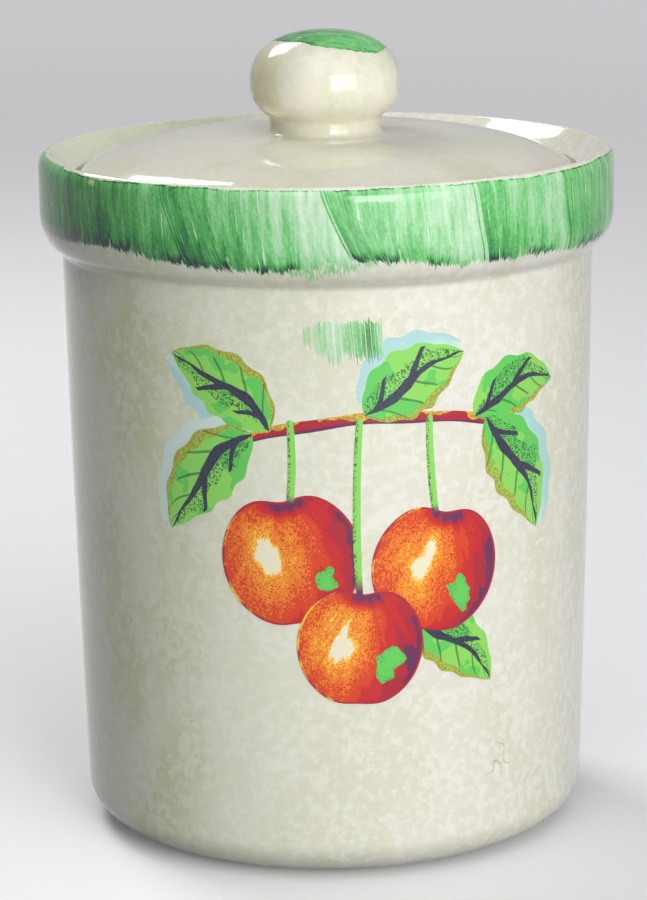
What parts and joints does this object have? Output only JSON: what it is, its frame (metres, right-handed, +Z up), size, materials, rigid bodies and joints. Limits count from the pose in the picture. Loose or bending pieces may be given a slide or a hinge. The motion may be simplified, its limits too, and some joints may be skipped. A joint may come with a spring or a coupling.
{
  "type": "kitchen canister",
  "caption": "Round glazed stoneware kitchen canister: tapered jar with a heavy rolled collar, domed lid with a bun knob seated inside the mouth, and a ribbed seal under the lid.",
  "frame": {"origin": "centre of the base, on the surface the canister stands on", "axes": "+Z up along the turning axis; the printed decoration faces -Y"},
  "size_m": [0.14, 0.14, 0.1952],
  "materials": {
    "jar_glaze": "cream gloss glaze with faint sponged mottling and a brushed green collar",
    "lid_glaze": "cream gloss glaze",
    "knob_glaze": "cream gloss glaze with a brushed green cap",
    "seal_silicone": "soft translucent white",
    "fruit_print": "printed fruit decoration under gloss glaze",
    "brush_mark": "thin green brush marks under gloss glaze"
  },
  "bodies": {
    "jar": {"jar": "jar_glaze"},
    "seal": {"seal_ring": "seal_silicone"},
    "lid": {"lid": "lid_glaze", "knob": "knob_glaze"}
  },
  "joints": [
    {"name": "lid_lift", "type": "slide", "parent": "jar", "child": "seal", "axis": [0, 0, 1], "range_m": [0, 0.09]},
    {"name": "lid_turn", "type": "hinge", "parent": "seal", "child": "lid", "pos_m": [0, 0, 0.1583], "axis": [0, 0, 1], "continuous": true}
  ]
}
